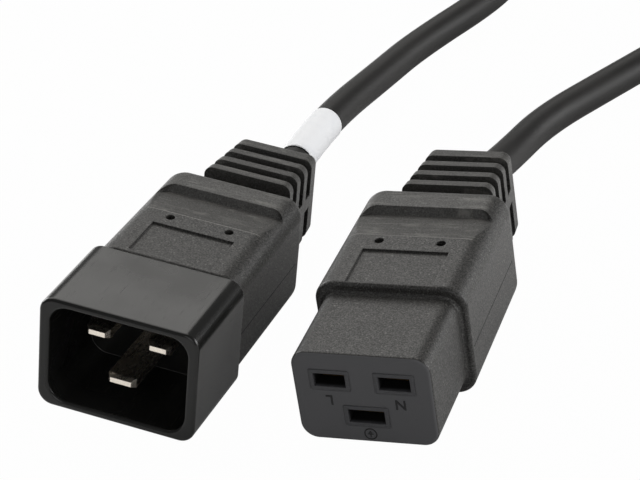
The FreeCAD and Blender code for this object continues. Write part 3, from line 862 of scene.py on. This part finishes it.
def on_face(x, z):
    """Turns a flat mark upside down and stands it on the mating face, its back sunk a little."""
    spot = Vector((x * MM, face_y + 0.02 * MM, AXIS_Z + z * MM))
    return Matrix.Translation(spot) @ UPSIDE_DOWN @ STAND_UP


def letter(name, text, x, z):
    """One raised letter, its middle this far from the connector's axis in millimetres."""
    words = bpy.data.curves.new(name, "FONT")
    words.body, words.size = text, LETTER_HIGH * SIZE_PER_CAPITAL
    words.align_x, words.align_y = "CENTER", "CENTER"
    words.extrude, words.offset = MARK_HALF_THICK, 0.03 * MM
    words.bevel_depth, words.bevel_resolution = 0.02 * MM, 1
    holder = bpy.data.objects.new(name, words)
    flat = bpy.data.meshes.new_from_object(holder)
    bpy.data.objects.remove(holder)
    shape = bmesh.new()
    shape.from_mesh(flat)
    bmesh.ops.transform(shape, matrix=on_face(x, z), verts=shape.verts)
    return piece(name, shape, mark_shade_and_wear)


letter("line_mark", "L", -7.0, -0.5)
letter("neutral_mark", "N", 7.2, -0.6)

# %% [markdown]
# ## The earth sign
# The ring is a small circle spun round the sign's middle. The stem and the three bars are cubes
# scaled flat, each half sunk into the face. The list gives a bar's width, its height and how high
# its middle lies, in millimetres.

# %% The earth sign in its ring
EARTH_PLACE = (0.24, -8.05)
RING, RING_WIRE = 1.2 * MM, 0.15 * MM
BARS = ((0.16, 0.75, 0.38), (1.15, 0.16, 0.0), (0.75, 0.16, -0.3), (0.35, 0.16, -0.6))
shape = bmesh.new()
bmesh.ops.create_circle(shape, cap_ends=False, segments=8, radius=RING_WIRE)
bmesh.ops.transform(shape, verts=shape.verts, matrix=Matrix.Translation((RING, 0, 0)) @ STAND_UP)
bmesh.ops.spin(
    shape, geom=shape.verts[:] + shape.edges[:], cent=(0, 0, 0), axis=(0, 0, 1), dvec=(0, 0, 0),
    angle=2 * math.pi, steps=40, use_merge=True,
)
for wide, tall, middle in BARS:
    bar = bmesh.ops.create_cube(shape, size=1.0)["verts"]
    bmesh.ops.scale(shape, vec=(wide * MM, tall * MM, 2 * MARK_HALF_THICK), verts=bar)
    bmesh.ops.translate(shape, vec=(0, middle * MM, 0), verts=bar)
bmesh.ops.transform(shape, matrix=on_face(*EARTH_PLACE), verts=shape.verts)
piece("earth_mark", shape, mark_shade_and_wear)

# %% [markdown]
# ## Rims of the slots
# The hard insert comes through the soft face as a collar round each slot. Its rim stands slightly
# proud, so the three slots read clearly. A flat ring is made by insetting a rectangle, and its edges
# are bevelled. The table gives a slot's x and z from the connector's axis, and its width.

# %% Collar rims
SLOTS = {"line": (-6.5, 4.0, 6.3), "neutral": (6.5, 4.0, 6.3), "earth": (0.0, -4.0, 7.3)}
RIM_AROUND, RIM_HIGH, RIM_WALL, RIM_PROUD = 1.7, 4.6, 0.82 * MM, 0.12 * MM
shape = bmesh.new()
for x, z, wide in SLOTS.values():
    rim = bmesh.ops.create_grid(shape, x_segments=1, y_segments=1, size=0.5)["verts"]
    bmesh.ops.scale(shape, vec=((wide + RIM_AROUND) * MM, RIM_HIGH * MM, 1), verts=rim)
    bmesh.ops.translate(shape, vec=(x * MM, z * MM, 0), verts=rim)
plates = shape.faces[:]
bmesh.ops.inset_individual(shape, faces=plates, thickness=RIM_WALL, use_even_offset=True)
bmesh.ops.delete(shape, geom=plates, context="FACES_ONLY")
rims = bmesh.ops.extrude_face_region(shape, geom=shape.faces[:])["geom"]
raised = [part for part in rims if isinstance(part, bmesh.types.BMVert)]
bmesh.ops.translate(shape, vec=(0, 0, RIM_PROUD), verts=raised)
edges = [edge for edge in shape.edges if all(corner in raised for corner in edge.verts)]
bmesh.ops.bevel(
    shape, geom=edges, offset=0.05 * MM, affect="EDGES", segments=2, profile=0.5, material=-1
)
stand = Matrix.Translation((0, face_y + 0.01 * MM, AXIS_Z)) @ STAND_UP
bmesh.ops.transform(shape, matrix=stand, verts=shape.verts)
piece("slot_rims", shape, nylon)

# %% [markdown]
# ## The cord's facts
# The cord is one real length from the C19 connector to the C20 plug. It leaves the connector at the
# end of its strain relief. The plug's parts, the label and the strap lie along it.

RELIEF_END, EXIT_HIGH = 82.1, 10.7
exit_c19 = from_face(0, RELIEF_END, EXIT_HIGH)

# %% [markdown]
# ## The floor
# The floor is a sheet of white paper that runs out to plain white. The camera sees an emission of
# strength 1 there, mixed with a little of the real paper, so the soft contact shadow stays. A glossy
# surface sees the paper itself in a greyer tone with a trace of the emission, so the undersides of
# the connectors reflect a lit floor and not a lamp.

# %% Floor
SEEN_WHITE, MIRRORED_WHITE = 0.985, 0.06
FLOOR_HALF = 6
paper = Finish("white_paper")
fibres = paper.noise(paper.place(), 60, 3)
seen = paper.node("LightPath")
mirrored = paper.node("LightPath", output=3)
paper.set(
    Base_Color=paper.mix(mirrored, paint(150, 150, 150), paint(248, 248, 248)),
    Roughness=0.85 + fibres * 0.1,
    Normal=paper.relief(fibres, 0.05 * MM),
)
white = paper.node("Emission", values={"Color": (1, 1, 1, 1), "Strength": 1.0})
share = seen * SEEN_WHITE + mirrored * MIRRORED_WHITE
shaded = Wire(paper, paper.shader.outputs[0])
blend = paper.node("MixShader", values={0: share, 1: shaded, 2: white})
paper.give(paper.tree.nodes["Material Output"], {"Surface": blend})
shape = bmesh.new()
bmesh.ops.create_grid(shape, x_segments=4, y_segments=4, size=FLOOR_HALF)
mesh = bpy.data.meshes.new("floor")
shape.to_mesh(mesh)
shape.free()
mesh.materials.append(paper.material)
floor = bpy.data.objects.new("floor", mesh)
bpy.context.scene.collection.objects.link(floor)
print("floor", 2 * FLOOR_HALF, "m across")


# %% [markdown]
# ## Lamps
# Black plastic shows its shape by what it reflects, so every lamp is a wide softbox. The largest
# hangs overhead and behind and draws the pale sheen on the top faces. A low one on the left lights
# the cords' edges, a weak one fills the front, and a long one on the right lights the sides.

# %% Softboxes
def softbox(name, place, aim, size, power, tone=(1, 1, 1)):
    """A rectangular lamp at a place, turned to its aim, with its power in watts."""
    lamp = bpy.data.lights.new(name, "AREA")
    lamp.shape, lamp.size, lamp.size_y = "RECTANGLE", size[0], size[1]
    lamp.energy, lamp.color = power, tone
    made = bpy.data.objects.new(name, lamp)
    made.location = place
    made.rotation_euler = (Vector(aim) - Vector(place)).to_track_quat("-Z", "Y").to_euler()
    bpy.context.scene.collection.objects.link(made)
    print("%s %.1f W" % (name, power))


WARM = (1.0, 0.985, 0.955)
softbox("overhead", (-0.45, 0.6, 0.95), (0, 0, 0), (1.3, 1.1), 9.5, WARM)
softbox("left_rim", (-1.1, 0.5, 0.35), (0, 0.1, 0), (0.9, 0.5), 9)
softbox("front_fill", (0.2, -1.3, 0.6), (0, 0, 0.02), (0.9, 0.9), 3.8)
softbox("right_fill", (1.15, 0.3, 0.3), (0, 0, 0.02), (1.4, 0.5), 14)

# %% [markdown]
# ## The world
# The world is plain white to the camera and dim to every other ray. The dim part only lifts the
# deepest shadows, as the white walls of a studio do.

# %% World
DIM, PLAIN_WHITE = 0.2, 1.0
world = bpy.data.worlds.new("studio")
bpy.context.scene.world = world
world.use_nodes = True
sky = world.node_tree
back = sky.nodes["Background"]
back.inputs["Color"].default_value = (1, 1, 1, 1)
to_camera, strength = sky.nodes.new("ShaderNodeLightPath"), sky.nodes.new("ShaderNodeMapRange")
strength.inputs["To Min"].default_value = DIM
strength.inputs["To Max"].default_value = PLAIN_WHITE
sky.links.new(to_camera.outputs["Is Camera Ray"], strength.inputs["Value"])
sky.links.new(strength.outputs["Result"], back.inputs["Strength"])
bpy.context.scene.view_settings.view_transform = "Standard"
print("world", world.name)

# %% [markdown]
# ## The closing line
# The last line brings the scene up to date.

# %% Bring the scene up to date
bpy.context.view_layer.update()
